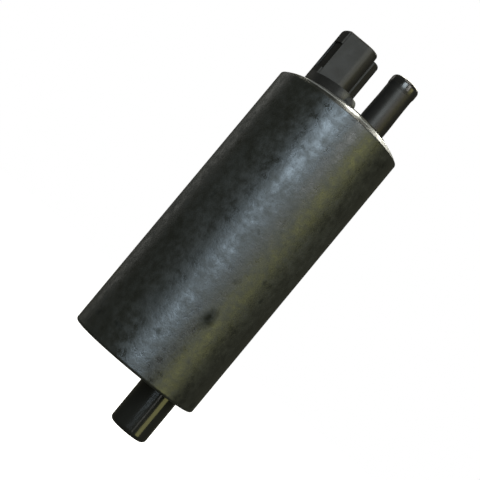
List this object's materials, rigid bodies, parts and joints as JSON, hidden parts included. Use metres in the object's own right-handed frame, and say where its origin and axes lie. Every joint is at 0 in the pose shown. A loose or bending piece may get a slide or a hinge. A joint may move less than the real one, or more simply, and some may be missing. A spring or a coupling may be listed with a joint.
{
  "type": "in-tank fuel pump",
  "caption": "Cylindrical electric turbine fuel pump with an offset inlet stub at one end and an outlet nipple and plug socket at the other.",
  "frame": {"origin": "on the pump axis, at the middle of the shell's length between its base edge and its top edge", "axes": "+Z along the pump axis towards the outlet and the plug, +X towards the side of the outlet nipple and the inlet stub"},
  "size_m": [0.038, 0.038, 0.115],
  "materials": {
    "shell_steel": "satin black coating, bare bright metal on the rolled top lip",
    "cap_plastic": "moulded black plastic",
    "inlet_plastic": "moulded black plastic, smooth",
    "terminal_brass": "stamped, tinned at the tip",
    "seal_rubber": "fuel-proof rubber",
    "bearing_bronze": "sintered bronze",
    "casing_plastic": "moulded, filled plastic",
    "washer_plastic": "low-friction plastic",
    "pad_steel": "hardened steel, ground",
    "magnet_ferrite": "ferrite",
    "spring_steel": "spring steel",
    "copper": "copper wire",
    "valve_brass": "turned",
    "shaft_steel": "ground steel",
    "core_steel": "stacked electrical steel",
    "insulator_plastic": "moulded, filled plastic",
    "segment_copper": "copper segments, polished by the brushes",
    "impeller_plastic": "moulded, filled plastic",
    "carbon": "carbon",
    "poppet_plastic": "moulded plastic"
  },
  "bodies": {
    "housing": {"shell": "shell_steel", "end_cap": "cap_plastic", "inlet_cover": "inlet_plastic", "terminal_plus": "terminal_brass", "terminal_minus": "terminal_brass", "cap_seal": "seal_rubber", "upper_bearing": "bearing_bronze", "lower_bearing": "bearing_bronze", "pump_casing": "casing_plastic", "thrust_washer": "washer_plastic", "thrust_pad": "pad_steel", "magnet_front": "magnet_ferrite", "magnet_rear": "magnet_ferrite", "magnet_clip_left": "spring_steel", "magnet_clip_right": "spring_steel", "brush_spring_plus": "spring_steel", "brush_spring_minus": "spring_steel", "brush_lead_plus": "copper", "brush_lead_minus": "copper", "check_valve_seat": "valve_brass", "check_valve_spring": "spring_steel", "relief_retainer": "valve_brass", "relief_spring": "spring_steel"},
    "rotor": {"shaft": "shaft_steel", "armature_core": "core_steel", "windings": "copper", "upper_insulator": "insulator_plastic", "lower_insulator": "insulator_plastic", "commutator_hub": "insulator_plastic", "commutator_segments": "segment_copper", "impeller": "impeller_plastic"},
    "brush_plus": {"brush_plus": "carbon"},
    "brush_minus": {"brush_minus": "carbon"},
    "check_poppet": {"check_valve_poppet": "poppet_plastic"},
    "relief_ball": {"relief_ball": "pad_steel"}
  },
  "joints": [
    {"name": "rotor_spin", "type": "hinge", "parent": "housing", "child": "rotor", "pos_m": [0, 0, 0], "axis": [0, 0, 1], "continuous": true},
    {"name": "brush_plus_slide", "type": "slide", "parent": "housing", "child": "brush_plus", "axis": [0, 0, 1], "range_m": [0, 0.002], "stiffness_N_per_m": 100, "springref_m": -0.01, "deforming": ["brush_spring_plus", "brush_lead_plus"]},
    {"name": "brush_minus_slide", "type": "slide", "parent": "housing", "child": "brush_minus", "axis": [0, 0, 1], "range_m": [0, 0.002], "stiffness_N_per_m": 100, "springref_m": -0.01, "deforming": ["brush_spring_minus", "brush_lead_minus"]},
    {"name": "check_valve_lift", "type": "slide", "parent": "housing", "child": "check_poppet", "axis": [0, 0, 1], "range_m": [0, 0.002], "stiffness_N_per_m": 60, "springref_m": -0.004, "deforming": ["check_valve_spring"]},
    {"name": "relief_valve_lift", "type": "slide", "parent": "housing", "child": "relief_ball", "axis": [0, 0, 1], "range_m": [0, 0.0012], "stiffness_N_per_m": 1500, "springref_m": -0.0017, "deforming": ["relief_spring"]}
  ]
}
